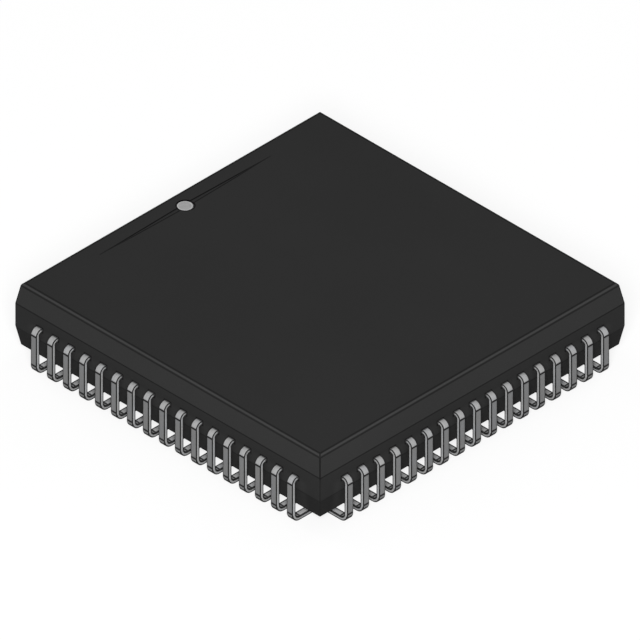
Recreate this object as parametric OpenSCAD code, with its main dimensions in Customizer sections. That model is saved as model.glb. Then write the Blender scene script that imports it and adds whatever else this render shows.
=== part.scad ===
// Plastic leaded chip carrier with J leads on all four sides.
// Millimetres, +Z up. The origin lies on the board, below the middle of the moulding,
// and the pin one mark is on the +Y side, which the comments call north.

/* [Outline] */
// Number of leads on each of the four sides
leads_per_side = 17; // [11:2:21]
// Distance between the middles of neighbouring leads
lead_pitch = 1.27; // [1.1:0.01:1.5]
// Distance from the middle of the last lead of a side to the end of that side
corner_margin = 1.94; // [1.6:0.01:2.4]
// How far the legs of the leads stand out past the band of the moulding
lead_overhang = 0.475; // [0.42:0.005:0.7]
// Height of the underside of the moulding above the board
standoff = 0.88; // [0.5:0.01:1.3]

/* [Moulding] */
// Height of the sloped wall below the band
lower_wall_h = 1.31; // [0.8:0.01:1.8]
// Height of the upright band that the leads come out of
band_h = 1.53; // [1:0.01:2.2]
// Height of the sloped wall above the band
upper_wall_h = 1.36; // [0.8:0.01:1.8]
// Slope of the two sloped walls away from upright, in degrees
draft = 10; // [4:0.5:16]
// Radius along the edges of the top face
top_edge_r = 0.2; // [0.05:0.01:0.5]

/* [Leads] */
// Width of a lead
lead_w = 0.46; // [0.33:0.01:0.6]
// Thickness of the sheet that the lead frame is stamped from
lead_t = 0.25; // [0.18:0.01:0.32]
// How far the middle of the sheet lies below the middle of the band
frame_drop = 0.06; // [-0.2:0.01:0.2]
// Inside radius of the bend at the shoulder of a lead
shoulder_r = 0.14; // [0.08:0.01:0.2]
// Inside radius of the bend between the leg and the foot of a lead
foot_r = 0.32; // [0.15:0.01:0.5]
// Clearance between the toes and the line of the last lead of the next side
toe_clearance = 0.49; // [0.2:0.01:0.8]

/* [Inner frame] */
// Length of the straight root of a lead inside the moulding
root_len = 0.6; // [0.3:0.05:1]
// Width of an inner finger at its tip
tip_w = 0.2; // [0.12:0.01:0.22]
// Length of the straight tip of an inner finger
tip_len = 0.5; // [0.3:0.05:1]
// Gap between the die paddle and the ring of finger tips, seen from above
tip_gap = 0.7; // [0.4:0.05:1.2]
// Distance from the middle of the last finger tip of a side to the corner of the ring of tips
tip_corner = 0.94; // [0.6:0.01:1.3]
// Margin of the die paddle around the die
paddle_margin = 0.6; // [0.3:0.05:1]
// Width of the tie bars that carry the die paddle
tie_w = 0.3; // [0.2:0.01:0.5]
// Length of the level stretch of a tie bar between the corner of the paddle and the slope
tie_level_len = 0.2; // [0.1:0.05:0.5]
// Length of the sloped stretch of a tie bar, along the diagonal
tie_slope_len = 0.6; // [0.3:0.05:1.2]
// Moulding left between the end of a tie bar and the corner of the band
tie_cover = 0.8; // [0.3:0.05:1.5]

/* [Chip] */
// Side of the square die
die_w = 6; // [4:0.1:8]
// Thickness of the die
die_t = 0.38; // [0.2:0.01:0.5]
// Thickness of the adhesive under the die
attach_t = 0.05; // [0.02:0.01:0.1]
// How far the adhesive is pressed out past the die
attach_margin = 0.1; // [0.02:0.01:0.2]
// Distance from the middle of the last pad of a side to the corner of the die
pad_corner = 0.6; // [0.3:0.05:1]
// Distance from the middles of the pads to the edge of the die
pad_inset = 0.12; // [0.08:0.01:0.25]
// Width and thickness of a bond wire
wire_d = 0.032; // [0.024:0.001:0.05]
// Height of the loop of a bond wire
loop_h = 0.22; // [0.12:0.01:0.4]
// Diameter of the ball that bonds a wire to its pad
ball_d = 0.09; // [0.06:0.005:0.12]
// Thickness of that ball, pressed flat
ball_t = 0.024; // [0.015:0.001:0.04]
// Distance from the end of a finger to the middle of its bond
stitch_inset = 0.2; // [0.1:0.01:0.28]

/* [Pin one mark] */
// Diameter of the dimple
dot_d = 1; // [0.6:0.05:1.6]
// Depth of the dimple
dot_depth = 0.1; // [0.06:0.01:0.2]
// How far the paint in the dimple lies below the top face
paint_drop = 0.04; // [0.01:0.01:0.05]
// Distance from the middle of the dimple to the edge of the top face, before that is rounded
dot_inset = 1.18; // [1:0.01:2]
// Length of the mould's witness line beside the dimple
witness_len = 13.7; // [4:0.1:16]
// Width of the witness line at its middle
witness_w = 0.28; // [0.06:0.01:0.4]
// Depth of the witness line
witness_depth = 0.03; // [0.01:0.01:0.06]
// How far the witness line lies outside the middle of the dimple
witness_shift = 0.02; // [0:0.01:0.3]

/* [Hidden] */
$fn = 48;

// Turn about Z that takes the north side to each side
north = 0;
west = 90;
south = 180;
east = 270;
SIDES = [north, west, south, east];

// Turn from a side to the corner next to it
corner_turn = 45;

// Half of the numbered steps on a side, so that the leads run from -last_lead to last_lead
last_lead = (leads_per_side - 1) / 2;
LEAD_NUMBERS = [-last_lead : last_lead];

// Half widths of the moulding
band_half = last_lead * lead_pitch + corner_margin;
top_half = band_half - upper_wall_h * tan(draft);
bottom_half = band_half - lower_wall_h * tan(draft);

// Heights of the moulding
band_bottom = standoff + lower_wall_h;
band_top = band_bottom + band_h;
top_z = band_top + upper_wall_h;

// Middle of the rounding along the top edge, where it touches the top face and the sloped wall
rounding_x = top_half - top_edge_r * (1 / cos(draft) - tan(draft));
rounding_z = top_z - top_edge_r;

// Heights of the lead frame and of the stack on the paddle, whose top lies level with the fingers
frame_bottom = band_bottom + band_h / 2 - frame_drop - lead_t / 2;
frame_top = frame_bottom + lead_t;
die_bottom = frame_top - die_t;
paddle_top = die_bottom - attach_t;
paddle_bottom = paddle_top - lead_t;

// Places along a lead, as distances from the middle of the part
shoulder_outer_r = shoulder_r + lead_t;
foot_outer_r = foot_r + lead_t;
leg_face = band_half + lead_overhang;
shoulder = leg_face - shoulder_outer_r;
heel = leg_face - foot_outer_r;
toe = last_lead * lead_pitch + lead_w / 2 + toe_clearance;
root_end = band_half - root_len;

// The paddle, the ring of finger tips and the row of pads
paddle_w = die_w + 2 * paddle_margin;
tip_row = paddle_w / 2 + tip_gap;
tip_pitch = (tip_row - tip_corner) / last_lead;
pad_pitch = (die_w / 2 - pad_corner) / last_lead;
pad_row = die_w / 2 - pad_inset;
stitch_row = tip_row + stitch_inset;

// Distances along a diagonal of the part
paddle_corner = paddle_w / 2 * sqrt(2);
tie_end = band_half * sqrt(2) - tie_cover;

// Place of the pin one mark
dot_y = top_half - dot_inset;
dot_floor = top_z - dot_depth;

// How far a cutting shape runs past what it cuts
overrun = 1;

// Section of the moulding, the same across both pairs of sides
module moulding_section() {
    wall_side = [cos(draft), sin(draft)];
    half_outline = [
        [bottom_half, standoff],
        [band_half, band_bottom],
        [band_half, band_top],
        [rounding_x, rounding_z] + top_edge_r * wall_side,
        [rounding_x, rounding_z],
        [rounding_x, top_z]
    ];
    other_half = [for (i = [len(half_outline) - 1 : -1 : 0]) [-half_outline[i].x, half_outline[i].y]];
    polygon(concat(half_outline, other_half));
    for (side = [0, 1])
        mirror([side, 0])
            translate([rounding_x, rounding_z])
                intersection() {
                    circle(top_edge_r);
                    polygon([[0, 0], 2 * top_edge_r * wall_side, 2 * top_edge_r * [1, 1], [0, 2 * top_edge_r]]);
                }
}

// The moulding before the frame, the chip and the mark are cut out of it
module moulding_block() {
    length = 2 * (band_half + overrun);
    intersection() {
        rotate([90, 0, 0])
            linear_extrude(length, center = true) moulding_section();
        rotate([90, 0, 90])
            linear_extrude(length, center = true) moulding_section();
    }
}

// Quarter ring of the sheet's thickness about the origin, in the first quadrant
module quarter_bend(inner_r) {
    intersection() {
        difference() {
            circle(inner_r + lead_t);
            circle(inner_r);
        }
        square(inner_r + lead_t);
    }
}

// Side view of the bent part of a lead: distance from the middle of the part, and height
module lead_profile() {
    leg_top = frame_top - shoulder_outer_r;
    translate([root_end, frame_bottom]) square([shoulder - root_end, lead_t]);
    translate([shoulder, leg_top]) quarter_bend(shoulder_r);
    translate([leg_face - lead_t, foot_outer_r]) square([lead_t, leg_top - foot_outer_r]);
    translate([heel, foot_outer_r]) mirror([0, 1]) quarter_bend(foot_r);
    translate([toe, 0]) square([heel - toe, lead_t]);
}

// Finger of one lead inside the moulding, fanned in from the pitch of the leads to that of the tips
module finger(number) {
    root_x = number * lead_pitch;
    tip_x = number * tip_pitch;
    tip_start = tip_row + tip_len;
    translate([0, 0, frame_bottom])
        linear_extrude(lead_t)
            polygon([
                [root_x - lead_w / 2, root_end],
                [tip_x - tip_w / 2, tip_start],
                [tip_x - tip_w / 2, tip_row],
                [tip_x + tip_w / 2, tip_row],
                [tip_x + tip_w / 2, tip_start],
                [root_x + lead_w / 2, root_end]
            ]);
}

// One lead of the north side, counted from the middle of the side
module lead(number) {
    translate([number * lead_pitch, 0, 0])
        rotate([90, 0, 90])
            linear_extrude(lead_w, center = true) lead_profile();
    finger(number);
}

// All leads of one side
module leads(side) {
    color([0.58, 0.58, 0.58])
        rotate([0, 0, side])
            for (number = LEAD_NUMBERS)
                lead(number);
}

// Tie bar along one diagonal, down from the level of the lead frame to that of the paddle
module tie_bar(angle) {
    down_set = frame_bottom - paddle_bottom;
    inner_end = paddle_corner - tie_w;
    slope_start = paddle_corner + tie_level_len;
    slope_end = slope_start + tie_slope_len;
    translate([0, 0, paddle_bottom])
        rotate([90, 0, angle])
            linear_extrude(tie_w, center = true)
                polygon([
                    [inner_end, 0],
                    [slope_start, 0],
                    [slope_end, down_set],
                    [tie_end, down_set],
                    [tie_end, down_set + lead_t],
                    [slope_end, down_set + lead_t],
                    [slope_start, lead_t],
                    [inner_end, lead_t]
                ]);
}

// Plate that carries the die, with its four tie bars
module die_paddle() {
    color([0.72, 0.45, 0.3]) {
        translate([-paddle_w / 2, -paddle_w / 2, paddle_bottom])
            cube([paddle_w, paddle_w, lead_t]);
        for (side = SIDES)
            tie_bar(side + corner_turn);
    }
}

// Layer of adhesive between the paddle and the die
module die_attach() {
    attach_w = die_w + 2 * attach_margin;
    color([0.75, 0.75, 0.72])
        translate([-attach_w / 2, -attach_w / 2, paddle_top])
            cube([attach_w, attach_w, attach_t]);
}

// The silicon die
module die() {
    color([0.35, 0.37, 0.42])
        translate([-die_w / 2, -die_w / 2, die_bottom])
            cube([die_w, die_w, die_t]);
}

// Where the bond wire of one number meets its pad on the die and its finger
function pad_place(number) = [number * pad_pitch, pad_row];
function stitch_place(number) = [number * tip_pitch, stitch_row];

// Side view of one bond wire above the level of the pads and fingers, from the pad to the finger
module wire_profile(span) {
    arc_r = (span * span / 4 + loop_h * loop_h) / (2 * loop_h);
    intersection() {
        translate([span / 2, loop_h - arc_r])
            difference() {
                circle(arc_r + wire_d / 2);
                circle(arc_r - wire_d / 2);
            }
        translate([-span / 2, 0]) square([2 * span, 2 * loop_h]);
    }
}

// One bond wire of the north side, flush on its pad and its finger, with its ball on the pad
module bond_wire(number) {
    pad = pad_place(number);
    run = stitch_place(number) - pad;
    translate([pad.x, pad.y, frame_top]) {
        rotate([90, 0, atan2(run.y, run.x)])
            linear_extrude(wire_d, center = true) wire_profile(norm(run));
        cylinder(d = ball_d, h = ball_t);
    }
}

// All bond wires of one side
module bond_wires(side) {
    color([0.85, 0.65, 0.2])
        rotate([0, 0, side])
            for (number = LEAD_NUMBERS)
                bond_wire(number);
}

// Shallow line that tapers to both ends, left on the top face by the mould
module witness_line() {
    translate([0, dot_y + witness_shift, top_z - witness_depth])
        linear_extrude(witness_depth + overrun)
            polygon([[-witness_len / 2, 0], [0, -witness_w / 2], [witness_len / 2, 0], [0, witness_w / 2]]);
}

// Spot of paint in the dimple
module pin_one_dot() {
    color([0.6, 0.6, 0.6])
        translate([0, dot_y, dot_floor])
            cylinder(d = dot_d, h = dot_depth - paint_drop);
}

// The moulding, cast round the lead frame, the chip and its wires
module mould_body() {
    color([0.18, 0.18, 0.18])
        difference() {
            moulding_block();
            for (side = SIDES)
                leads(side);
            die_paddle();
            die_attach();
            die();
            for (side = SIDES)
                bond_wires(side);
            translate([0, dot_y, dot_floor])
                cylinder(d = dot_d, h = dot_depth + overrun);
            witness_line();
        }
}

mould_body();
pin_one_dot();
leads(north);  // leads_north
leads(west);  // leads_west
leads(south);  // leads_south
leads(east);  // leads_east
die_paddle();
die_attach();
die();
bond_wires(north);  // bond_wires_north
bond_wires(west);  // bond_wires_west
bond_wires(south);  // bond_wires_south
bond_wires(east);  // bond_wires_east
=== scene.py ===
"""Dresses a square chip carrier with J leads and sets it in a plain studio.

The moulding, the pin one mark and the four rows of leads are made anew with rounded edges and
finishes, and the parts inside keep their solids and get a finish. The classes of the part hold
millimetres, as the solids do, and the studio and every finished mesh are in metres.
"""

import logging
import math
from collections.abc import Callable
from dataclasses import dataclass
from enum import Enum
from typing import Any

import bmesh
import bpy
from mathutils import Matrix, Vector


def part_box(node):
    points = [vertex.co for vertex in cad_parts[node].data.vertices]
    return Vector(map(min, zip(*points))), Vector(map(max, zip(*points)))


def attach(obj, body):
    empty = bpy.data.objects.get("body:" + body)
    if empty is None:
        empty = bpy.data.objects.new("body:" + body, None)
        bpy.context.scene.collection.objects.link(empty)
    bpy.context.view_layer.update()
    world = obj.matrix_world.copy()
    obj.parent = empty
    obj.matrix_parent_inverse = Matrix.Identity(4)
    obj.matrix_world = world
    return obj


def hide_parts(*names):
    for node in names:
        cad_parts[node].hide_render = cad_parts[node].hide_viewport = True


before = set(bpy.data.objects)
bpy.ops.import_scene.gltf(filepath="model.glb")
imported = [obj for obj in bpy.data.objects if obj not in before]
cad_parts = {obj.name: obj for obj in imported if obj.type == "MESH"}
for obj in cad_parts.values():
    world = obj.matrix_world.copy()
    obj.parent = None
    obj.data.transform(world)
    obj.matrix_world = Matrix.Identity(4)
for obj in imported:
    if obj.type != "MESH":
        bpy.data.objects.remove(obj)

MM = 0.001
Colour = tuple[float, float, float, float]
Span = tuple[float, float]
NOISE_SPAN: Span = (0.3, 0.7)
log = logging.getLogger("chip")


def grey(value: float) -> Colour:
    """Gives an opaque grey of one linear value."""
    return (value, value, value, 1.0)


def arithmetic(operation: str, swapped: bool = False) -> Callable[["Signal", Any], "Signal"]:
    """Makes a method of a signal that adds one Math node.

    Args:
        operation: The name of the node's operation.
        swapped: Whether the signal is the second operand, as in 1 - mask.

    Returns:
        The method, which takes the other operand.
    """

    def method(self: "Signal", other: Any) -> "Signal":
        """Adds the node and gives its result."""
        return self.math(operation, *((other, self) if swapped else (self, other)))

    return method


class Signal:
    """The output of a node, on which arithmetic adds Math nodes to its tree."""

    def __init__(self, graph: "Graph", socket: bpy.types.NodeSocket) -> None:
        """Wraps a socket of a graph."""
        self.graph = graph
        self.socket = socket

    def math(self, operation: str, *operands: Any) -> "Signal":
        """Adds one Math node with its operands in order, signals or numbers."""
        return self.graph.node("ShaderNodeMath", {"operation": operation}, dict(enumerate(operands)))

    __add__ = arithmetic("ADD")
    __radd__ = arithmetic("ADD", True)
    __sub__ = arithmetic("SUBTRACT")
    __rsub__ = arithmetic("SUBTRACT", True)
    __mul__ = arithmetic("MULTIPLY")
    __rmul__ = arithmetic("MULTIPLY", True)
    __truediv__ = arithmetic("DIVIDE")
    __rtruediv__ = arithmetic("DIVIDE", True)
    __pow__ = arithmetic("POWER")
    least = arithmetic("MINIMUM")
    most = arithmetic("MAXIMUM")

    def __abs__(self) -> "Signal":
        """Gives the size of the signal without its sign."""
        return self.math("ABSOLUTE", self)

    def rise(self, start: float, end: float) -> "Signal":
        """Goes smoothly from 0 to 1 between two values of the signal.

        Args:
            start: The value up to which the result is 0.
            end: The value from which the result is 1.

        Returns:
            The smooth step.
        """
        settings = {"interpolation_type": "SMOOTHSTEP"}
        sockets = {"Value": self, "From Min": start, "From Max": end}
        return self.graph.node("ShaderNodeMapRange", settings, sockets)

    def past(self, place: float, span: Span) -> "Signal":
        """Goes smoothly from 0 to 1 over a span that is measured from a place."""
        return self.rise(place + span[0], place + span[1])

    def near(self, place: float, width: float) -> "Signal":
        """Marks a soft line of some width: 1 where the signal has one value and 0 beside it."""
        return 1 - abs(self - place).rise(0.25 * width, 0.75 * width)

    def part(self, name: str) -> "Signal":
        """Gives another output of the same node."""
        return Signal(self.graph, self.socket.node.outputs[name])


Sizes = Callable[[str], Signal]


class Graph:
    """A node tree for a material, the world or a modifier."""

    def __init__(self, tree: bpy.types.NodeTree) -> None:
        """Starts from an empty tree."""
        self.tree = tree
        tree.nodes.clear()

    def node(
        self,
        kind: str,
        settings: dict[str, Any] | None = None,
        sockets: dict[str | int, Any] | None = None,
        out: str | int | None = 0,
    ) -> Signal | None:
        """Adds a node.

        Args:
            kind: The node's type.
            settings: Its properties, with "stops" for a ramp and "items" for a number of choices.
            sockets: Values or signals for its inputs, by name or number.
            out: The output to give back, or None for a node that has none.

        Returns:
            The output asked for.
        """
        node = self.tree.nodes.new(kind)
        for name, value in (settings or {}).items():
            if name == "stops":
                self._set_stops(node.color_ramp, value)
            elif name == "items":
                while len(node.index_switch_items) < value:
                    node.index_switch_items.new()
            else:
                setattr(node, name, value)
        for key, value in (sockets or {}).items():
            if isinstance(value, Signal):
                self.tree.links.new(value.socket, node.inputs[key])
            else:
                node.inputs[key].default_value = value
        return None if out is None else Signal(self, node.outputs[out])

    @staticmethod
    def _set_stops(ramp: bpy.types.ColorRamp, stops: list[tuple[float, Colour]]) -> None:
        """Gives a ramp its stops.

        Args:
            ramp: The ramp of a new node, which has two stops.
            stops: Places from 0 to 1 with their colours.
        """
        while len(ramp.elements) < len(stops):
            ramp.elements.new(1.0)
        for element, (place, colour) in zip(ramp.elements, stops):
            element.position = place
            element.color = colour

    def mix(self, factor: Any, first: Any, second: Any) -> Signal:
        """Mixes two colours, the first at a factor of 0 and the second at 1."""
        return self.node("ShaderNodeMix", {"data_type": "RGBA"}, {0: factor, 6: first, 7: second}, 2)

    def tint(self, colour: Any, other: Any) -> Signal:
        """Multiplies two colours."""
        settings = {"data_type": "RGBA", "blend_type": "MULTIPLY"}
        return self.node("ShaderNodeMix", settings, {0: 1.0, 6: colour, 7: other}, 2)

    def gain(self, colour: Any, mask: Signal, factor: float) -> Signal:
        """Multiplies a colour by a number where a mask is 1."""
        return self.tint(colour, self.mix(mask, grey(1.0), grey(factor)))

    def vary(self, noise: Signal, tones: Span, colour: float = 1.0) -> Signal:
        """Gives a grey that wanders between two tones of a colour with a noise."""
        return self.mix(noise.rise(*NOISE_SPAN), grey(tones[0] * colour), grey(tones[1] * colour))

    def note(self, shape: Signal, name: str, value: Signal, domain: str = "POINT") -> Signal:
        """Notes a number on a shape under a name, on its points or its instances."""
        sockets = {"Geometry": shape, "Name": name, "Value": value}
        return self.node("GeometryNodeStoreNamedAttribute", {"domain": domain}, sockets)

    def place(self) -> Signal:
        """Gives the point on the object in millimetres."""
        point = self.node("ShaderNodeTexCoord", out="Object")
        return self.node("ShaderNodeVectorMath", {"operation": "SCALE"}, {"Vector": point, "Scale": 1 / MM})

    def axes(self, vector: Signal) -> tuple[Signal, Signal, Signal]:
        """Splits a vector into its three numbers."""
        x = self.node("ShaderNodeSeparateXYZ", None, {"Vector": vector}, "X")
        return x, x.part("Y"), x.part("Z")

    def noise(self, vector: Signal, size: float, detail: float = 2.0, rough: float = 0.5) -> Signal:
        """Adds noise about 0.5, with grains of a size in millimetres and finer layers on them."""
        sockets = {"Vector": vector, "Scale": 1 / size, "Detail": detail, "Roughness": rough}
        return self.node("ShaderNodeTexNoise", None, sockets)

    def bump(self, height: Signal, depth: float) -> Signal:
        """Turns a height into a normal, where a height of 1 has a depth in millimetres."""
        sockets = {"Height": height, "Strength": 1.0, "Distance": depth * MM}
        return self.node("ShaderNodeBump", None, sockets)


class Finish:
    """A finish, which makes its material when it is first asked for."""

    name: str

    def material(self) -> bpy.types.Material:
        """Gives the finish's material, which is made once.

        Returns:
            The material.
        """
        made = bpy.data.materials.get(self.name)
        if made is None:
            made = bpy.data.materials.new(self.name)
            made.use_nodes = True
            graph = Graph(made.node_tree)
            shader = graph.node("ShaderNodeBsdfPrincipled", None, self.sockets(graph))
            graph.node("ShaderNodeOutputMaterial", None, {"Surface": shader}, None)
        return made

    def sockets(self, graph: Graph) -> dict[str, Any]:
        """Gives what feeds the shader, by socket name."""
        raise NotImplementedError


@dataclass(frozen=True)
class MouldingFinish(Finish):
    """Black filled resin as it leaves a spark-eroded mould, with painted shading on its walls and rounded
    edge, and painted dark lines and shade.
    """

    body: "Moulding"
    colour: float = 0.0246
    lower_tone: float = 0.79
    band_tone: float = 1.07
    upper_tone: float = 1.34
    rim_tone: float = 1.84
    tone_blur: float = 0.02
    row_gain: float = 1.28
    low_gain: float = 1.18
    flow_size: float = 7.0
    flow_tones: Span = (0.97, 1.04)
    grain_size: float = 0.085
    grain_depth: float = 0.004
    speck_size: float = 0.045
    speck_span: Span = (0.70, 0.78)
    speck_gain: float = 1.6
    roughness: float = 0.62
    shine: float = 0.02
    line_w: float = 0.1
    line_dark: float = 0.7
    line_tone: float = 0.05
    line_most: float = 1.4
    rim_line: float = 0.01
    rim_low_line: float = 0.025
    front_shift: float = 0.025
    wall_span: Span = (-0.05, 0.0)
    root_span: Span = (0.03, 0.1)
    soft: float = 0.1
    name = "moulding_compound_matte"

    def sockets(self, graph: Graph) -> dict[str, Any]:
        """Gives grain, flow marks and filler specks, painted shading on the walls with a painted highlight
        on the rim, and painted dark edges and shade.

        Args:
            graph: The material's tree.

        Returns:
            Values and signals by socket name.
        """
        place = graph.place()
        axes = graph.axes(place)
        grain = graph.noise(place, self.grain_size, 3.0, 0.6)
        flow = graph.noise(place, self.flow_size, 3.0)
        specks = graph.noise(place, self.speck_size, 1.0).rise(*self.speck_span)
        # Painted dark lines along the edges and painted shade round the leads and in the mark.
        dark = self.edge_lines(*axes) * self.line_dark
        tone = graph.tint(self.resin_tone(graph, *axes), graph.vary(flow, self.flow_tones))
        tone = graph.gain(tone, specks, self.speck_gain)
        tone = graph.gain(tone, dark, self.line_tone)
        return {
            "Base Color": tone,
            "Roughness": self.roughness + 0.1 * flow + 0.08 * grain + 0.1 * dark,
            "Specular IOR Level": self.shine,
            "Normal": graph.bump(grain + 0.4 * specks, self.grain_depth),
        }

    def beside_top(self, x: Signal, y: Signal) -> Signal:
        """Marks the walls and the rounded edge, which lie outside the flat top."""
        return abs(x).most(abs(y)).past(self.body.rim_half, self.wall_span)

    def resin_tone(self, graph: Graph, x: Signal, y: Signal, z: Signal) -> Signal:
        """Gives the resin's tone, with painted shade and light on the walls and a painted highlight on the
        rim.

        Args:
            graph: The material's tree.
            x: Place along the sides of the mark, in millimetres.
            y: Place towards the mark.
            z: Height.

        Returns:
            The colour.
        """
        body = self.body
        leads = body.leads
        height = body.top - body.bottom
        stops = []
        # Painted shading: the wall tones step with the tilt of each wall and are lightest on the rounded
        # edge.
        for level, below, above in (
            (body.kink, self.lower_tone, self.band_tone),
            (body.band_top, self.band_tone, self.upper_tone),
            (body.rim_low, self.upper_tone, self.rim_tone),
        ):
            for shift, tone in ((-self.tone_blur, below), (self.tone_blur, above)):
                stops.append(((level + shift - body.bottom) / height, grey(tone * self.colour)))
        walls = graph.node("ShaderNodeValToRGB", {"stops": stops}, {"Fac": (z - body.bottom) / height})
        # Painted light on the walls between the leads, which lifts the shade the leads cast there, most on
        # the lower wall.
        row = 1 - abs(x).least(abs(y)).past(leads.row_half, (0.0, leads.pitch / 2))
        low = 1 - z.rise(leads.frame_low - self.soft, leads.frame_top + self.soft)
        lowest = 1 - z.past(body.kink, (-self.soft, 0.0))
        walls = graph.gain(walls, row * low, self.row_gain)
        walls = graph.gain(walls, row * lowest, self.low_gain)
        return graph.mix(self.beside_top(x, y), grey(self.colour), walls)

    def edge_lines(self, x: Signal, y: Signal, z: Signal) -> Signal:
        """Marks painted dark lines along the edges and corners, and painted shade round the leads and in
        the mark.

        Args:
            x: Place along the sides of the mark, in millimetres.
            y: Place towards the mark.
            z: Height.

        Returns:
            A mask that is 1 on the edges.
        """
        body = self.body
        width = self.line_w
        walls = self.beside_top(x, y)
        upper = z.past(body.top - body.dot_depth, (-0.01, 0.0))
        fade = 0.2 + 0.25 * z.past(body.kink, (-0.1, 0.0)) + 0.55 * z.past(body.band_top, (-0.15, 0.0))
        corners = abs(abs(x) - abs(y)).near(0.0, 1.2 * width) * walls * fade
        roots = self.lead_roots(abs(x).least(abs(y)), z) * walls
        rim = abs(x).most(abs(y)).near(body.rim_half + self.rim_line, 1.2 * width)
        lines = corners.most(roots).most(rim.most(self.mark_lines(x, y)) * upper)
        for level, wide, strong in (
            (body.bottom, 1.4, 1.0),
            (body.kink, 1.0, 0.25),
            (body.band_top, 0.8, 0.8),
            (body.rim_low + self.rim_low_line, 1.1, 0.9),
        ):
            lines = lines.most(strong * z.near(level, wide * width))
        return lines.least(self.line_most)

    def mark_lines(self, x: Signal, y: Signal) -> Signal:
        """Marks painted shade round the rim of the dimple and along the two edges of the witness line.

        Args:
            x: Place along the sides of the mark, in millimetres.
            y: Place towards the mark.

        Returns:
            A mask, a little stronger on the witness line's edge towards the middle.
        """
        body = self.body
        half = body.witness_len / 2
        off = y - body.dot_y
        ring = ((x * x + off * off) ** 0.5).near(body.dot_r, 1.3 * self.line_w)
        taper = 1 - abs(x) / half
        front = y.math("LESS_THAN", y, body.witness_y) * taper.rise(0.0, 0.4)
        edge = abs(y - body.witness_y) - taper * (body.witness_w / 2) - self.front_shift * front
        fade = (1 - abs(x).past(half, (-0.1, 0.0))) * (0.45 + 0.55 * taper.rise(0.0, 0.5))
        witness = edge.near(0.0, 0.65 * self.line_w) * fade
        return (self.line_most * ring).most((1.0 + 0.2 * front) * witness)

    def lead_roots(self, along: Signal, z: Signal) -> Signal:
        """Marks painted shade round each lead where it leaves the band.

        Args:
            along: Distance from the middle of the wall, in millimetres.
            z: Height.

        Returns:
            A mask that is 1 close to a lead.
        """
        leads = self.body.leads
        inner, outer = self.root_span
        off = along.math("PINGPONG", along, leads.pitch / 2)
        beside = 1 - off.past(leads.width / 2, self.root_span)
        above = 1 - z.past(leads.frame_top, self.root_span)
        below = z.past(leads.frame_low, (-outer, -inner))
        row = 1 - along.past(leads.row_half, (0.0, outer))
        return beside * above * below * row


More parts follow.
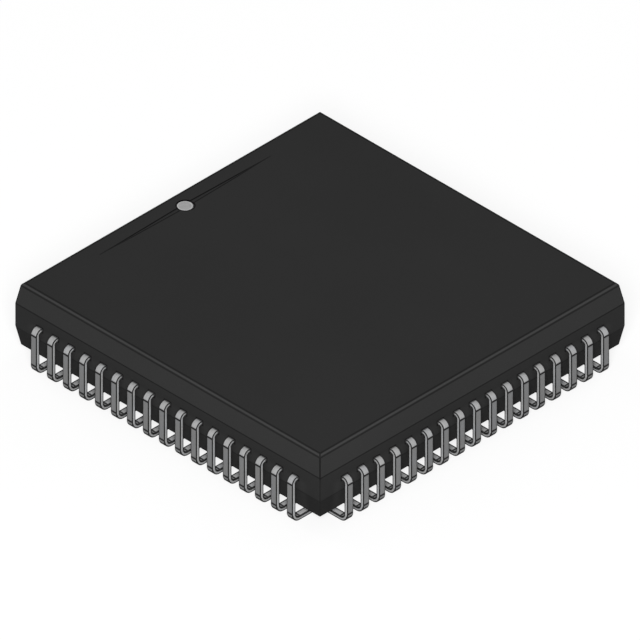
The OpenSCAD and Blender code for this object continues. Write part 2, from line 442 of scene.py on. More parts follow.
@dataclass(frozen=True)
class LeadFinish(Finish):
    """Satin tin plate on stamped copper alloy, drawn along the lead, with painted light on its shoulders,
    feet and sheared sides, and painted dark lines and shade.
    """

    row: "LeadRow"
    colour: float = 0.19
    streak_tones: Span = (0.94, 1.06)
    streaks_across: float = 24.0
    streaks_along: float = 1.2
    grain_size: float = 0.05
    grain_depth: float = 0.0012
    cloud_size: float = 0.9
    cloud_span: Span = (0.35, 0.7)
    cloud_tint: Colour = (1.0, 1.015, 1.04, 1.0)
    shoulder_gain: float = 1.88
    foot_gain: float = 2.9
    cut_gain: float = 2.3
    cut_fade: Span = (0.2, 0.7)
    line_tone: float = 0.06
    roughness: float = 0.36
    shine: float = 0.05
    metal: float = 0.4
    cut_metal: float = 0.12
    edge_span: Span = (0.042, 0.066)
    face_span: Span = (-0.03, -0.01)
    high_span: Span = (0.0, 0.1)
    bend_w: float = 0.13
    bend_up: float = 0.05
    root_span: Span = (0.055, 0.11)
    root_dark: float = 0.85
    crook_span: Span = (0.085, 0.11)
    under_top: Span = (0.38, 0.46)
    under_span: Span = (0.32, 0.36)
    hollow_span: Span = (0.01, 0.04)
    hollow_start: Span = (-0.03, 0.03)
    hollow_dark: float = 0.3
    crease_in: float = 0.055
    crease_w: float = 0.13
    crease_top: Span = (0.28, 0.32)
    sole_span: Span = (-0.09, -0.07)
    sole_top: Span = (-0.1, 0.0)
    foot_top: Span = (0.26, 0.32)
    foot_span: Span = (0.0, 0.1)
    name = "plated_lead_satin"

    def sockets(self, graph: Graph) -> dict[str, Any]:
        """Gives drawn streaks and plating grain, painted light on shoulders, feet and sheared sides, and
        painted dark lines and shade at edges and bends.

        Args:
            graph: The material's tree.

        Returns:
            Values and signals by socket name.
        """
        place = graph.place()
        x, y, z = graph.axes(place)
        reach = abs(x).most(abs(y))
        gap, across, cut = (
            graph.node("ShaderNodeAttribute", {"attribute_name": name}, None, "Fac")
            for name in ("edge_gap", "across", "cut_side")
        )
        strip = {"X": across * self.streaks_across, "Y": (z + reach) * self.streaks_along}
        streaks = graph.noise(graph.node("ShaderNodeCombineXYZ", None, strip), 1.0, 2.0, 0.6)
        grain = graph.noise(place, self.grain_size, 2.0, 0.6)
        cloud = graph.noise(place, self.cloud_size)
        face = 1 - cut
        high = z.past(self.row.bend_high, self.high_span)
        foot = (1 - z.rise(*self.foot_top)) * (1 - reach.past(self.row.foot_end, self.foot_span))
        dark = self.dull_lines(reach, z, gap, cut)

        tone = graph.vary(streaks, self.streak_tones, self.colour)
        # Painted light on the shoulders, on the feet under the body and on the sheared sides.
        tone = graph.gain(tone, high * face, self.shoulder_gain)
        tone = graph.gain(tone, foot * face, self.foot_gain)
        tone = graph.gain(tone, cut * (0.6 + 0.4 * z.rise(*self.cut_fade)), self.cut_gain)
        tone = graph.tint(tone, graph.mix(cloud.rise(*self.cloud_span), grey(1.0), self.cloud_tint))
        # Painted dark lines and painted shade darken the plate here.
        tone = graph.gain(tone, dark, self.line_tone)
        # The zones with painted light are also made less metallic.
        painted_light_zones = cut.most(high).most(foot)
        return {
            "Base Color": tone,
            "Metallic": (self.metal - (self.metal - self.cut_metal) * painted_light_zones) * (1 - dark),
            "Roughness": self.roughness + 0.10 * streaks + 0.06 * grain + 0.2 * dark,
            "Specular IOR Level": self.shine,
            "Normal": graph.bump(0.5 * streaks + 0.5 * grain, self.grain_depth),
        }

    def dull_lines(self, reach: Signal, z: Signal, gap: Signal, cut: Signal) -> Signal:
        """Marks painted dark lines along the edges, bends and sole, and painted shade at the roots, under
        the lower bend and in the hollow of the foot.

        Args:
            reach: Distance from the middle of the part, in millimetres.
            z: Height.
            gap: Distance from the strip's nearest edge.
            cut: A mask of the sheared sides.

        Returns:
            A mask that is 1 on the dull lines.
        """
        row = self.row
        face = 1 - cut
        high = z.past(row.bend_high, self.high_span)
        bends = z.near(row.bend_high, self.bend_w).most(z.near(row.bend_low + self.bend_up, self.bend_w))
        bends = bends * reach.past(row.leg_face, self.face_span)
        root = (1 - reach.past(row.band_half, self.root_span)) * high
        crook = self.from_bend(reach - row.shoulder_end, z - row.bend_high)
        crook = cut * high * (1 - crook.past(row.shoulder_r, self.crook_span))
        under = (1 - z.rise(*self.under_top)) * reach.past(row.foot_end, self.under_span) * face
        arc = self.from_bend(reach - row.foot_end, z - row.bend_low)
        hollow = (1 - arc.past(row.foot_r, self.hollow_span)) * reach.past(row.foot_end, self.hollow_start)
        crease = reach.near(row.foot_end - self.crease_in, self.crease_w)
        crease = crease * (1 - z.rise(*self.crease_top)) * face
        sole = cut * arc.past(row.bend_low, self.sole_span) * (1 - z.past(row.bend_low, self.sole_top))
        # Painted dark lines along the strip's edges, to which painted shade at the roots, under the bend
        # and in the hollow is added.
        dull = 1 - gap.rise(*self.edge_span)
        for line in (bends, crook, self.root_dark * root, under, self.hollow_dark * hollow, crease, sole):
            dull = dull.most(line)
        return dull

    @staticmethod
    def from_bend(out: Signal, up: Signal) -> Signal:
        """Gives the distance from a bend's axis, or from its level on the straight inside the bend."""
        return (out.most(0.0) ** 2 + up**2) ** 0.5


@dataclass(frozen=True)
class PaintFinish(Finish):
    """Pale marking paint with a paler bead, and painted shade at its rim by the dimple's edge."""

    middle_y: float
    radius: float
    colour: float = 0.328
    run: float = 0.035
    bead_gain: float = 1.35
    bead_in: float = 0.085
    bead_w: float = 0.07
    rim_span: Span = (-0.057, -0.037)
    rim_tone: float = 0.04
    mottle_size: float = 0.16
    mottle_tones: Span = (0.95, 1.05)
    pit_size: float = 0.05
    depth: float = 0.005
    roughness: float = 0.6
    shine: float = 0.25
    name = "mark_paint_matte"

    def sockets(self, graph: Graph) -> dict[str, Any]:
        """Gives a mottled tone with a bead that ran a little to one side, and painted shade at its rim.

        Args:
            graph: The material's tree.

        Returns:
            Values and signals by socket name.
        """
        place = graph.place()
        x, y, _ = graph.axes(place)
        off = y - (self.middle_y + self.run)
        radius = (x * x + off * off) ** 0.5
        mottle = graph.noise(place, self.mottle_size, 3.0, 0.55)
        pits = graph.noise(place, self.pit_size)
        tone = graph.vary(mottle, self.mottle_tones, self.colour)
        tone = graph.gain(tone, radius.near(self.radius - self.bead_in, self.bead_w), self.bead_gain)
        # Painted shade at the rim of the spot, where it meets the dimple's wall.
        tone = graph.mix(radius.past(self.radius, self.rim_span), tone, grey(self.rim_tone * self.colour))
        return {
            "Base Color": tone,
            "Roughness": self.roughness + 0.12 * mottle,
            "Specular IOR Level": self.shine,
            "Normal": graph.bump(mottle + 0.5 * pits, self.depth),
        }


@dataclass(frozen=True)
class MetalFinish(Finish):
    """Bare metal with fine marks in one direction."""

    name: str
    colour: Colour
    dull: Colour
    mark_size: float
    roughness: float
    stretch: tuple[float, float, float] = (1.0, 0.08, 1.0)
    marks_in_patch: float = 14.0
    dull_span: Span = (0.35, 0.75)
    mark_slope: float = 0.02

    def sockets(self, graph: Graph) -> dict[str, Any]:
        """Gives fine marks and patches of dull metal.

        Args:
            graph: The material's tree.

        Returns:
            Values and signals by socket name.
        """
        place = graph.place()
        drawn = graph.node("ShaderNodeMapping", None, {"Vector": place, "Scale": self.stretch})
        marks = graph.noise(drawn, self.mark_size)
        patches = graph.noise(place, self.marks_in_patch * self.mark_size, 3.0)
        return {
            "Base Color": graph.mix(patches.rise(*self.dull_span), self.colour, self.dull),
            "Metallic": 1.0,
            "Roughness": self.roughness + 0.15 * marks + 0.1 * patches,
            "Normal": graph.bump(marks, self.mark_slope * self.mark_size),
        }


@dataclass(frozen=True)
class AdhesiveFinish(Finish):
    """Silver-filled adhesive with flakes in it."""

    paste: Colour = (0.42, 0.42, 0.40, 1.0)
    flake: Colour = (0.66, 0.65, 0.62, 1.0)
    flake_scale: float = 45.0
    flake_span: Span = (0.15, 0.45)
    flake_metal: float = 0.6
    lump_size: float = 0.2
    lump_depth: float = 0.006
    roughness: float = 0.45
    name = "die_adhesive_filled"

    def sockets(self, graph: Graph) -> dict[str, Any]:
        """Gives bright flakes in a dull paste.

        Args:
            graph: The material's tree.

        Returns:
            Values and signals by socket name.
        """
        place = graph.place()
        sockets = {"Vector": place, "Scale": self.flake_scale}
        flakes = graph.node("ShaderNodeTexVoronoi", None, sockets, "Distance")
        bright = 1 - flakes.rise(*self.flake_span)
        lumps = graph.noise(place, self.lump_size, 3.0)
        return {
            "Base Color": graph.mix(bright, self.paste, self.flake),
            "Metallic": self.flake_metal * bright,
            "Roughness": self.roughness + 0.25 * lumps,
            "Normal": graph.bump(lumps, self.lump_depth),
        }


@dataclass(frozen=True)
class SiliconFinish(Finish):
    """A polished chip with fields of fine circuits inside a plain border."""

    half: float
    top: float
    border: float = 0.32
    border_span: Span = (0.0, 0.02)
    top_span: Span = (-0.01, -0.005)
    block_scale: float = 1.3
    row_scale: float = 14.0
    saw_size: float = 0.03
    bare: Colour = (0.10, 0.11, 0.15, 1.0)
    cool: Colour = (0.10, 0.13, 0.20, 1.0)
    warm: Colour = (0.28, 0.24, 0.20, 1.0)
    wiring: Colour = (0.34, 0.36, 0.40, 1.0)
    name = "silicon_polished"

    def sockets(self, graph: Graph) -> dict[str, Any]:
        """Gives blocks of circuits on the upper face and sawn walls.

        Args:
            graph: The material's tree.

        Returns:
            Values and signals by socket name.
        """
        place = graph.place()
        x, y, z = graph.axes(place)
        sockets = {"Vector": place, "Scale": self.block_scale}
        blocks = graph.node("ShaderNodeTexVoronoi", {"distance": "CHEBYCHEV"}, sockets, "Color")
        shade, _, _ = graph.axes(blocks)
        sockets = {"Vector": place, "Scale": self.row_scale}
        stripes, _, _ = graph.axes(graph.node("ShaderNodeTexWave", {"bands_direction": "X"}, sockets))
        inside = 1 - abs(x).most(abs(y)).past(self.half - self.border, self.border_span)
        field = inside * z.past(self.top, self.top_span)
        saw = graph.noise(place, self.saw_size)
        circuit = graph.mix(shade, self.cool, self.warm)
        circuit = graph.mix(stripes * 0.4, circuit, self.wiring)
        return {
            "Base Color": graph.mix(field, self.bare, circuit),
            "Metallic": 0.35 * field,
            "Roughness": 0.2 + 0.25 * saw * (1 - field) + 0.1 * stripes * field,
        }


class Side(Enum):
    """The four sides, each with its turn from the side of the mark in degrees."""

    NORTH = 0
    WEST = 90
    SOUTH = 180
    EAST = 270

    @property
    def node(self) -> str:
        """Gives the name of the node of that side's leads."""
        return f"leads_{self.name.lower()}"


class Workshop:
    """What turns code into finished mesh objects."""

    @staticmethod
    def from_bmesh(name: str, shape: bmesh.types.BMesh) -> bpy.types.Object:
        """Makes an object of a shape and lets the shape go.

        Args:
            name: The object's name.
            shape: The shape, which keeps its unit.

        Returns:
            The new object, in the scene.
        """
        mesh = bpy.data.meshes.new(name)
        bmesh.ops.recalc_face_normals(shape, faces=shape.faces)
        shape.to_mesh(mesh)
        shape.free()
        made = bpy.data.objects.new(name, mesh)
        bpy.context.scene.collection.objects.link(made)
        return made

    @staticmethod
    def settle(piece: bpy.types.Object) -> None:
        """Turns what an object's modifiers make into its plain mesh.

        Args:
            piece: The object, which keeps its name.
        """
        depsgraph = bpy.context.evaluated_depsgraph_get()
        evaluated = piece.evaluated_get(depsgraph)
        mesh = bpy.data.meshes.new_from_object(
            evaluated, preserve_all_data_layers=True, depsgraph=depsgraph
        )
        old = piece.data
        piece.modifiers.clear()
        piece.data = mesh
        mesh.name = piece.name
        bpy.data.meshes.remove(old)

    @classmethod
    def shade(cls, piece: bpy.types.Object, sharp_deg: float) -> None:
        """Shades a piece smoothly, with flat faces kept flat.

        Args:
            piece: The piece.
            sharp_deg: The bend from which an edge stays sharp.
        """
        piece.data.shade_smooth()
        piece.data.set_sharp_from_angle(angle=math.radians(sharp_deg))
        weighting = piece.modifiers.new("flat_faces", "WEIGHTED_NORMAL")
        weighting.weight = 100
        weighting.keep_sharp = True
        cls.settle(piece)

    @staticmethod
    def aim(
        thing: bpy.types.Object, azimuth: float, elevation: float, distance: float, target: Vector
    ) -> None:
        """Stands a lamp or the camera so that it looks at a point, and puts it in the scene.

        Args:
            thing: The lamp or the camera.
            azimuth: Degrees from the front, positive to the right.
            elevation: Degrees above the floor.
            distance: How far from the point it stands, in metres.
            target: The point.
        """
        turn = math.radians(azimuth)
        rise = math.radians(elevation)
        way = Vector((math.sin(turn) * math.cos(rise), -math.cos(turn) * math.cos(rise), math.sin(rise)))
        thing.location = target + way * distance
        thing.rotation_euler = way.to_track_quat("Z", "Y").to_euler()
        bpy.context.scene.collection.objects.link(thing)

    @staticmethod
    def loft(shape: bmesh.types.BMesh, rings: list[list[bmesh.types.BMVert]]) -> None:
        """Joins rings of points by faces, where a ring of one point is a pole.

        Args:
            shape: The shape that holds the points.
            rings: The rings, from the lowest to the highest.
        """
        segments = max(len(ring) for ring in rings)
        for low, high in zip(rings, rings[1:]):
            for step in range(segments):
                after = (step + 1) % segments
                under = [low[step % len(low)], low[after % len(low)]]
                over = [high[after % len(high)], high[step % len(high)]]
                shape.faces.new(list(dict.fromkeys(under + over)))

    @classmethod
    def lathe(cls, points: list[Span], middle: Vector, segments: int) -> bmesh.types.BMesh:
        """Spins a profile about an upright axis.

        Args:
            points: Radius and height of each point, from the axis below to the axis above.
            middle: The foot of the axis.
            segments: How many segments the round has.

        Returns:
            The closed shape.
        """
        shape = bmesh.new()
        rings: list[list[bmesh.types.BMVert]] = []
        for radius, height in points:
            turns = 1 if radius == 0 else segments
            angles = [math.tau * step / segments for step in range(turns)]
            places = [Vector((radius * math.cos(a), radius * math.sin(a), height)) for a in angles]
            rings.append([shape.verts.new(middle + place) for place in places])
        cls.loft(shape, rings)
        return shape


@dataclass
class Moulding:
    """The moulded body: a block with drafted walls, a flat band and a rounded upper edge."""

    band_half: float
    bottom: float
    top: float
    leads: "LeadRow"
    lower_wall: float = 1.31
    band: float = 1.53
    draft: float = 10.0
    kink_drop: float = 0.08
    rim_r: float = 0.2
    foot_r: float = 0.02
    corner_r: float = 0.025
    dot_r: float = 0.5
    dot_depth: float = 0.1
    dot_inset: float = 1.18
    dot_lip: float = 0.025
    witness_len: float = 13.7
    witness_w: float = 0.28
    witness_depth: float = 0.03
    witness_shift: float = 0.02
    rim_steps: int = 10
    corner_steps: int = 10
    lip_steps: int = 8
    round_steps: int = 96
    lip_lift: float = 0.0005
    dimple_cutter_top: float = 0.3
    witness_cutter_top: float = 0.2
    sharp_deg: float = 9.4

    @property
    def lean(self) -> float:
        """Gives how far a wall leans in for each millimetre of height."""
        return math.tan(math.radians(self.draft))

    @property
    def band_bottom(self) -> float:
        """Gives the height of the lower edge of the band."""
        return self.bottom + self.lower_wall

    @property
    def band_top(self) -> float:
        """Gives the height of the upper edge of the band."""
        return self.band_bottom + self.band

    @property
    def top_half(self) -> float:
        """Gives half the width at which the upper walls would meet the top."""
        return self.band_half - (self.top - self.band_top) * self.lean

    @property
    def rim_half(self) -> float:
        """Gives half the width of the flat top inside its rounded edge."""
        return self.top_half - self.rim_r * math.tan(math.radians(90 - self.draft) / 2)

    @property
    def dot_y(self) -> float:
        """Gives the distance of the mark from the middle."""
        return self.top_half - self.dot_inset

    @property
    def kink(self) -> float:
        """Gives the height at which the finish draws the lower edge of the band."""
        return self.band_bottom - self.kink_drop

    @property
    def rim_low(self) -> float:
        """Gives the height at which the rounded upper edge starts."""
        return self.top - self.rim_r * (1 - math.sin(math.radians(self.draft)))

    @property
    def witness_y(self) -> float:
        """Gives the distance of the witness line from the middle."""
        return self.dot_y + self.witness_shift

    def outline(self) -> list[Span]:
        """Gives half width and height of each ring from the underside to the top.

        Returns:
            The rings, with the arcs of the lower and the upper edge.
        """
        bottom_half = self.band_half - self.lower_wall * self.lean
        tilt = math.radians(self.draft)
        foot_cut = self.foot_r * math.tan((math.pi / 2 - tilt) / 2)
        foot_middle = (bottom_half - foot_cut, self.bottom + self.foot_r)
        rings = [(foot_middle[0], self.bottom)]
        for step in range(1, self.rim_steps + 1):
            angle = -math.pi / 2 + (math.pi / 2 - tilt) * step / self.rim_steps
            out, up = self.foot_r * math.cos(angle), self.foot_r * math.sin(angle)
            rings.append((foot_middle[0] + out, foot_middle[1] + up))
        rings.append((self.band_half, self.band_bottom))
        rings.append((self.band_half, self.band_top))
        rim_middle = (self.rim_half, self.top - self.rim_r)
        for step in range(self.rim_steps + 1):
            angle = tilt + (math.pi / 2 - tilt) * step / self.rim_steps
            out, up = self.rim_r * math.cos(angle), self.rim_r * math.sin(angle)
            rings.append((rim_middle[0] + out, rim_middle[1] + up))
        return rings

    def corner_ring(self, half: float, height: float) -> list[Vector]:
        """Gives a square with slightly rounded corners.

        Args:
            half: Half the width of the square.
            height: The height at which it lies.

        Returns:
            Its points, anticlockwise from above.
        """
        points: list[Vector] = []
        inner = half - self.corner_r
        for quarter in range(4):
            start = quarter * math.pi / 2
            diagonal = start + math.pi / 4
            middle = Vector((math.cos(diagonal), math.sin(diagonal), 0)) * inner * math.sqrt(2)
            for step in range(self.corner_steps + 1):
                angle = start + math.pi / 2 * step / self.corner_steps
                turn = Vector((math.cos(angle), math.sin(angle), 0))
                points.append(middle + turn * self.corner_r + Vector((0, 0, height)))
        return points

    def block(self) -> bpy.types.Object:
        """Lofts the rings into the plain block.

        Returns:
            The block, in millimetres.
        """
        shape = bmesh.new()
        rings = [[shape.verts.new(point) for point in self.corner_ring(*ring)] for ring in self.outline()]
        Workshop.loft(shape, rings)
        shape.faces.new(rings[0])
        shape.faces.new(rings[-1])
        return Workshop.from_bmesh("mould_shell", shape)

    def dimple(self) -> bpy.types.Object:
        """Makes the cutter of the mark's dimple, with a rounded lip.

        Returns:
            The cutter, in millimetres.
        """
        lip = self.dot_lip
        points = [(0.0, -self.dot_depth), (self.dot_r, -self.dot_depth)]
        for step in range(self.lip_steps + 1):
            angle = math.pi / 2 * step / self.lip_steps
            out = self.dot_r + lip * (1 - math.cos(angle))
            points.append((out, lip * (math.sin(angle) - 1) + self.lip_lift))
        points += [(self.dot_r + lip, self.dimple_cutter_top), (0.0, self.dimple_cutter_top)]
        shape = Workshop.lathe(points, Vector((0, self.dot_y, self.top)), self.round_steps)
        return Workshop.from_bmesh("dimple_cutter", shape)

    def witness(self) -> bpy.types.Object:
        """Makes the cutter of the faint line that tapers away on both sides of the mark.

        Returns:
            The cutter, in millimetres.
        """
        half = self.witness_len / 2
        side = self.witness_w / 2
        middle = Vector((0, self.witness_y, self.top))
        outline = [(-half, 0), (0, -side), (half, 0), (0, side)]
        shape = bmesh.new()
        upper, lower = (
            [shape.verts.new(middle + Vector((x, y, height))) for x, y in outline]
            for height in (self.witness_cutter_top, -self.witness_depth)
        )
        shape.faces.new(upper)
        shape.faces.new(lower)
        Workshop.loft(shape, [lower, upper])
        return Workshop.from_bmesh("witness_cutter", shape)

    def build(self) -> bpy.types.Object:
        """Makes the body and dresses it.

        Returns:
            The finished piece.
        """
        body = self.block()
        for cutter in (self.witness(), self.dimple()):
            cut = body.modifiers.new("cut", "BOOLEAN")
            cut.operation = "DIFFERENCE"
            cut.solver = "EXACT"
            cut.object = cutter
            Workshop.settle(body)
            bpy.data.objects.remove(cutter)
        body.data.transform(Matrix.Scale(MM, 4))
        Workshop.shade(body, self.sharp_deg)
        body.data.materials.clear()
        body.data.materials.append(MouldingFinish(self).material())
        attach(body, "root")
        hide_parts("mould_body")
        return body


@dataclass
class PinOneMark:
    """The spot of paint in the dimple that marks pin one."""

    middle_y: float
    top: float
    radius: float = 0.5
    depth: float = 0.1
    drop: float = 0.04
    sag: float = 0.008
    creep_power: int = 6
    pool_steps: int = 8
    round_steps: int = 96
    sharp_deg: float = 30.0

    def build(self) -> bpy.types.Object:
        """Makes the spot, a shallow pool that creeps up at its rim.

        Returns:
            The finished piece.
        """
        points = [(0.0, -self.depth), (self.radius, -self.depth), (self.radius, -self.drop)]
        for step in reversed(range(self.pool_steps)):
            share = step / self.pool_steps
            points.append((self.radius * share, -self.drop - self.sag * (1 - share**self.creep_power)))
        shape = Workshop.lathe(points, Vector((0, self.middle_y, self.top)), self.round_steps)
        spot = Workshop.from_bmesh("paint_spot", shape)
        spot.data.transform(Matrix.Scale(MM, 4))
        Workshop.shade(spot, self.sharp_deg)
        spot.data.materials.append(PaintFinish(self.middle_y, self.radius).material())
        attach(spot, "root")
        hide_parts("pin_one_dot")
        return spot


@dataclass
class LeadRow:
    """The leads of a side: each a strip from its finger tip out of the band and down into a J."""

    leg_face: float
    tip_row: float
    frame_top: float
    band_half: float
    count: int = 17
    pitch: float = 1.27
    width: float = 0.46
    thickness: float = 0.25
    edge_r: float = 0.022
    inner_line: float = 0.04
    shoulder_r: float = 0.14
    foot_r: float = 0.32
    toe: float = 10.88
    root_end: float = 11.5
    tip_len: float = 0.5
    tip_width: float = 0.2
    tip_pitch: float = 0.42
    bend_steps: int = 7
    edge_steps: int = 2
    cut_share: float = 0.499
    sharp_deg: float = 50.0

    @property
    def frame_low(self) -> float:
        """Gives the height of the strip's underside where it leaves the band."""
        return self.frame_top - self.thickness

    @property
    def bend_low(self) -> float:
        """Gives the height of the axis of the lower bend."""
        return self.foot_r + self.thickness

    @property
    def bend_high(self) -> float:
        """Gives the height of the axis of the upper bend."""
        return self.frame_low - self.shoulder_r

    @property
    def foot_end(self) -> float:
        """Gives how far from the middle the flat foot ends and the lower bend starts."""
        return self.leg_face - self.bend_low

    @property
    def shoulder_end(self) -> float:
        """Gives how far from the middle the flat shoulder ends and the upper bend starts."""
        return self.leg_face - self.thickness - self.shoulder_r

    @property
    def row_half(self) -> float:
        """Gives half the length of the row, with half a lead's width to spare."""
        return self.pitch * (self.count - 1) / 2 + self.width

    def inputs(self, side: Side) -> dict[str, tuple[str, Any]]:
        """Gives the tree's inputs.

        Args:
            side: The side on which the row stands.

        Returns:
            Kind of socket and value by name, lengths in millimetres.
        """
        length = "NodeSocketFloat"
        middle = self.thickness / 2
        return {
            "Count": ("NodeSocketInt", self.count),
            "Pitch": (length, self.pitch),
            "Tip Pitch": (length, self.tip_pitch),
            "Width": (length, self.width),
            "Tip Width": (length, self.tip_width),
            "Thickness": (length, self.thickness),
            "Edge Radius": (length, self.edge_r),
            "Inner Line": (length, self.inner_line),
            "Toe": (length, self.toe),
            "Leg": (length, self.leg_face - middle),
            "Frame Height": (length, self.frame_top - middle),
            "Root End": (length, self.root_end),
            "Tip Start": (length, self.tip_row + self.tip_len),
            "Tip": (length, self.tip_row),
            "Foot Bend": (length, self.foot_r + middle),
            "Shoulder Bend": (length, self.shoulder_r + middle),
            "Turn": (length, math.radians(side.value)),
            "Plating": ("NodeSocketMaterial", LeadFinish(self).material()),
        }

    def tree(self) -> bpy.types.GeometryNodeTree:
        """Makes the tree that draws a row, or gives it where it is made.

        Returns:
            The tree, with one named input for each size.
        """
        made = bpy.data.node_groups.get("lead_row")
        if made is not None:
            return made
        made = bpy.data.node_groups.new("lead_row", "GeometryNodeTree")
        for name, (kind, _) in self.inputs(Side.NORTH).items():
            made.interface.new_socket(name, in_out="INPUT", socket_type=kind)
        made.interface.new_socket("Geometry", in_out="OUTPUT", socket_type="NodeSocketGeometry")
        graph = Graph(made)
        size = graph.node("NodeGroupInput", out="Count").part
        sockets = {"Curve": self.path(graph, size), "Profile Curve": self.section(graph, size)}
        strip = graph.node("GeometryNodeCurveToMesh", None, sockets | {"Fill Caps": True})
        row = self.fan(graph, size, strip)
        turn = graph.node("ShaderNodeCombineXYZ", None, {"Z": size("Turn")})
        turn = graph.node("FunctionNodeEulerToRotation", None, {"Euler": turn})
        sockets = {"Geometry": row, "Rotation": turn, "Scale": (MM, MM, MM)}
        row = graph.node("GeometryNodeTransform", None, sockets)
        row = graph.node("GeometryNodeRealizeInstances", None, {"Geometry": row})
        row = graph.node("GeometryNodeSetMaterial", None, {"Geometry": row, "Material": size("Plating")})
        graph.node("NodeGroupOutput", None, {"Geometry": row}, None)
        return made

    def path(self, graph: Graph, size: Sizes) -> Signal:
        """Draws the middle line of a lead, from its toe round the J to the tip of its finger.

        Args:
            graph: The tree.
            size: Gives the signal of a named input.

        Returns:
            The curve, in the plane across the row.
        """
        low = size("Thickness") * 0.5
        high = size("Frame Height")
        stations = [
            (size("Toe"), low),
            (size("Leg"), low),
            (size("Leg"), high),
            (size("Root End"), high),
            (size("Tip Start"), high),
            (size("Tip"), high),
        ]
        index = graph.node("GeometryNodeInputIndex")
        points = {"Index": index}
        bends = {"Index": index, "1": size("Foot Bend"), "2": size("Shoulder Bend")}
        for number, (y, z) in enumerate(stations):
            points[str(number)] = graph.node("ShaderNodeCombineXYZ", None, {"Y": y, "Z": z})
        count = len(stations)
        place = graph.node("GeometryNodeIndexSwitch", {"data_type": "VECTOR", "items": count}, points)
        bend = graph.node("GeometryNodeIndexSwitch", {"data_type": "FLOAT", "items": count}, bends)
        line = graph.node("GeometryNodeCurvePrimitiveLine")
        line = graph.node("GeometryNodeResampleCurve", {"mode": "COUNT"}, {"Curve": line, "Count": count})
        line = graph.node("GeometryNodeSetPosition", None, {"Geometry": line, "Position": place})
        sockets = {"Curve": line, "Radius": bend, "Count": self.bend_steps}
        return graph.node("GeometryNodeFilletCurve", {"mode": "POLY"}, sockets)

    def section(self, graph: Graph, size: Sizes) -> Signal:
        """Draws the strip's section and notes the way to the nearest edge and the sheared sides.

        Args:
            graph: The tree.
            size: Gives the signal of a named input.

        Returns:
            The closed curve.
        """
        sockets = {"Width": size("Width"), "Height": size("Thickness")}
        section = graph.node("GeometryNodeCurvePrimitiveQuadrilateral", {"mode": "RECTANGLE"}, sockets)
        section = graph.node("GeometryNodeSubdivideCurve", None, {"Curve": section, "Cuts": 1})
        index = graph.node("GeometryNodeInputIndex")
        radius = size("Edge Radius") * (1 - index.math("MODULO", index, 2.0))
        sockets = {"Curve": section, "Radius": radius, "Count": self.edge_steps}
        section = graph.node("GeometryNodeFilletCurve", {"mode": "POLY"}, sockets)
        x, y, _ = graph.axes(graph.node("GeometryNodeInputPosition"))
        gap = (size("Width") * 0.5 - abs(x)).most(size("Thickness") * 0.5 - abs(y))
        inner = (y / (size("Thickness") * -0.5)).most(0.0)
        gap = gap - inner * size("Inner Line")
        cut = x.math("GREATER_THAN", abs(x), size("Width") * self.cut_share)
        section = graph.note(section, "edge_gap", gap)
        return graph.note(section, "cut_side", cut)

    def fan(self, graph: Graph, size: Sizes, strip: Signal) -> Signal:
        """Repeats the lead along the row and fans the fingers in towards the die.

        Args:
            graph: The tree.
            size: Gives the signal of a named input.
            strip: One lead, with its middle line on the row's axis.

        Returns:
            The row's mesh.
        """
        points = graph.node("GeometryNodePoints", None, {"Count": size("Count")})
        row = graph.node("GeometryNodeInstanceOnPoints", None, {"Points": points, "Instance": strip})
        number = graph.node("GeometryNodeInputIndex") - (size("Count") - 1) * 0.5
        row = graph.note(row, "number", number, "INSTANCE")
        row = graph.node("GeometryNodeRealizeInstances", None, {"Geometry": row})
        number = graph.node("GeometryNodeInputNamedAttribute", {"data_type": "FLOAT"}, {"Name": "number"})
        x, y, z = graph.axes(graph.node("GeometryNodeInputPosition"))
        row = graph.note(row, "across", x + number * size("Pitch"))
        share = (size("Root End") - y) / (size("Root End") - size("Tip Start"))
        inside = z.math("GREATER_THAN", z, size("Frame Height") * 0.5)
        share = share.most(0.0).least(1.0) * inside
        narrow = 1 - share * (1 - size("Tip Width") / size("Width"))
        spread = size("Pitch") - share * (size("Pitch") - size("Tip Pitch"))
        sockets = {"X": x * narrow + number * spread, "Y": y, "Z": z}
        place = graph.node("ShaderNodeCombineXYZ", None, sockets)
        return graph.node("GeometryNodeSetPosition", None, {"Geometry": row, "Position": place})

    def build(self, side: Side) -> bpy.types.Object:
        """Makes the row of a side and dresses it.

        Args:
            side: The side.

        Returns:
            The finished piece.
        """
        mesh = bpy.data.meshes.new(f"{side.node}_formed")
        row = bpy.data.objects.new(mesh.name, mesh)
        bpy.context.scene.collection.objects.link(row)
        nodes = row.modifiers.new("lead_row", "NODES")
        nodes.node_group = self.tree()
        inputs = self.inputs(side)
        for item in nodes.node_group.interface.items_tree:
            if item.in_out == "INPUT":
                nodes[item.identifier] = inputs[item.name][1]
        Workshop.settle(row)
        Workshop.shade(row, self.sharp_deg)
        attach(row, "root")
        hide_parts(side.node)
        return row


@dataclass
class InnerParts:
    """The chip, its adhesive, its paddle and its wires, which keep their solids."""

    copper: Finish
    adhesive: Finish
    silicon: Finish
    gold: Finish

    def dress(self) -> list[str]:
        """Gives each solid its finish.

        Returns:
            The names of the nodes that were dressed.
        """
        finishes = {"die_paddle": self.copper, "die_attach": self.adhesive, "die": self.silicon}
        for side in Side:
            finishes[f"bond_wires_{side.name.lower()}"] = self.gold
        for name, finish in finishes.items():
            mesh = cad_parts[name].data
            mesh.materials.clear()
            mesh.materials.append(finish.material())
        return list(finishes)


@dataclass
class Lamp:
    """A soft box aimed at the part: where it stands, its width in metres and its power in watts."""

    name: str
    azimuth: float
    elevation: float
    distance: float
    width: float
    power: float

    def place(self, target: Vector) -> None:
        """Sets the lamp up.

        Args:
            target: The point at which it is aimed.
        """
        light = bpy.data.lights.new(self.name, "AREA")
        light.size = self.width
        light.energy = self.power
        lamp = bpy.data.objects.new(self.name, light)
        Workshop.aim(lamp, self.azimuth, self.elevation, self.distance, target)


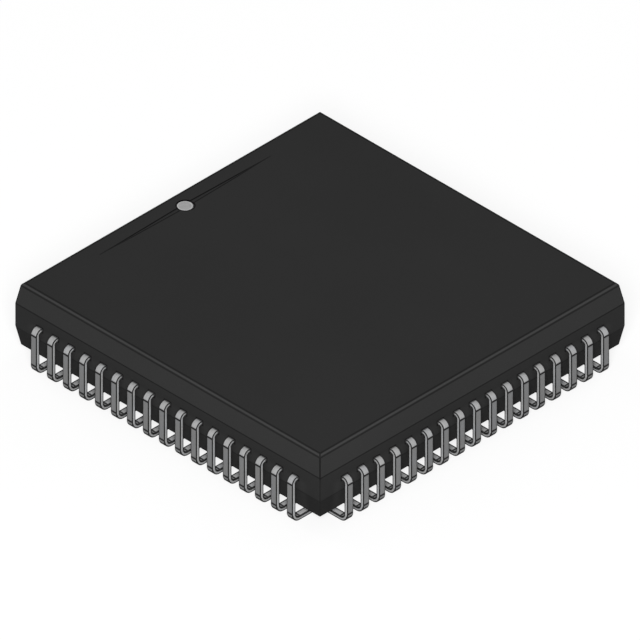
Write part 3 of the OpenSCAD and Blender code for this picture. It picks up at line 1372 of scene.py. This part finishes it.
@dataclass
class Studio:
    """A pale floor, soft light and a camera with parallel rays at equal angles to the three axes."""

    target_z: float = 0.002544
    view_width: float = 0.03592
    azimuth: float = -45.0
    elevation: float = math.degrees(math.atan(1 / math.sqrt(2)))
    distance: float = 0.3
    ambient: float = 0.28
    floor_tone: float = 0.5
    shadow: float = 0.22
    white: float = 1.02
    floor_size: float = 3.0
    floor_drop: float = 0.00002
    clip: Span = (0.001, 10.0)
    lamps: tuple[Lamp, ...] = (
        Lamp("key_box", -46.0, 34.5, 0.4, 0.1, 1.5),
        Lamp("east_box", 92.0, 12.0, 0.4, 0.25, 0.65),
        Lamp("north_box", 178.0, 12.0, 0.4, 0.25, 0.65),
    )

    @property
    def target(self) -> Vector:
        """Gives the point at which camera and lamps look."""
        return Vector((0, 0, self.target_z))

    @staticmethod
    def seen(graph: Graph) -> Signal:
        """Marks the rays that show the set itself: to the camera, in metal and in glass."""
        camera = graph.node("ShaderNodeLightPath", out="Is Camera Ray")
        return camera.most(camera.part("Is Glossy Ray")).most(camera.part("Is Transmission Ray"))

    def lay_floor(self) -> None:
        """Lays the floor, which is white to the camera but for the part's shadow."""
        shape = bmesh.new()
        bmesh.ops.create_grid(shape, x_segments=1, y_segments=1, size=self.floor_size / 2)
        floor = Workshop.from_bmesh("floor", shape)
        floor.data.transform(Matrix.Translation((0, 0, -self.floor_drop)))
        material = bpy.data.materials.new("pale_floor")
        material.use_nodes = True
        graph = Graph(material.node_tree)
        tone = graph.mix(self.seen(graph), grey(self.floor_tone), grey(self.shadow))
        matt = graph.node("ShaderNodeBsdfDiffuse", None, {"Color": tone})
        shown = self.seen(graph) * (self.white - self.shadow)
        white = graph.node("ShaderNodeEmission", None, {"Color": grey(1.0), "Strength": shown})
        lit = graph.node("ShaderNodeAddShader", None, {0: matt, 1: white})
        clear = graph.node("ShaderNodeBsdfTransparent")
        below = graph.node("ShaderNodeNewGeometry", out="Backfacing")
        surface = graph.node("ShaderNodeMixShader", None, {0: below, 1: lit, 2: clear})
        graph.node("ShaderNodeOutputMaterial", None, {"Surface": surface}, None)
        floor.data.materials.append(material)

    def light_up(self) -> None:
        """Lights the set from the world and the lamps."""
        world = bpy.data.worlds.new("studio")
        world.use_nodes = True
        graph = Graph(world.node_tree)
        dim = graph.node("ShaderNodeBackground", None, {"Color": grey(1.0), "Strength": self.ambient})
        white = graph.node("ShaderNodeBackground", None, {"Color": grey(1.0), "Strength": 1.0})
        mixed = graph.node("ShaderNodeMixShader", None, {0: self.seen(graph), 1: dim, 2: white})
        graph.node("ShaderNodeOutputWorld", None, {"Surface": mixed}, None)
        bpy.context.scene.world = world
        for lamp in self.lamps:
            lamp.place(self.target)

    def set_camera(self) -> None:
        """Stands the camera where the photograph was taken."""
        lens = bpy.data.cameras.new("camera")
        lens.type = "ORTHO"
        lens.ortho_scale = self.view_width
        lens.clip_start, lens.clip_end = self.clip
        camera = bpy.data.objects.new("camera", lens)
        Workshop.aim(camera, self.azimuth, self.elevation, self.distance, self.target)
        bpy.context.scene.camera = camera

    def build(self) -> None:
        """Sets up camera, floor and light."""
        self.set_camera()
        self.lay_floor()
        self.light_up()
        bpy.context.scene.view_settings.view_transform = "Standard"


def box_mm(node: str) -> tuple[Vector, Vector]:
    """Gives the lowest and the highest corner of a node in millimetres."""
    low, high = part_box(node)
    return Vector(low) / MM, Vector(high) / MM


def main() -> None:
    """Builds the studio and every piece in order."""
    logging.basicConfig(level=logging.INFO, format="%(name)s: %(message)s")
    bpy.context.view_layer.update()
    Studio().build()

    block_low, block_high = box_mm("mould_body")
    low, high = box_mm(Side.NORTH.node)
    leads = LeadRow(leg_face=high.y, tip_row=low.y, frame_top=high.z, band_half=block_high.x)
    moulding = Moulding(block_high.x, block_low.z, block_high.z, leads)
    pieces = [moulding.build(), PinOneMark(moulding.dot_y, moulding.top).build()]
    pieces += [leads.build(side) for side in Side]
    for piece in pieces:
        log.info("%s: %d faces", piece.name, len(piece.data.polygons))

    low, high = box_mm("die")
    inner = InnerParts(
        copper=MetalFinish(
            name="frame_copper_rolled",
            colour=(0.62, 0.33, 0.2, 1.0),
            dull=(0.4, 0.2, 0.12, 1.0),
            mark_size=0.06,
            roughness=0.3,
        ),
        adhesive=AdhesiveFinish(),
        silicon=SiliconFinish(half=high.x, top=high.z),
        gold=MetalFinish(
            name="bond_gold_drawn",
            colour=(0.83, 0.6, 0.2, 1.0),
            dull=(0.7, 0.46, 0.12, 1.0),
            mark_size=0.012,
            roughness=0.18,
        ),
    )
    log.info("dressed inside: %s", ", ".join(inner.dress()))


if __name__ == "__main__":
    main()
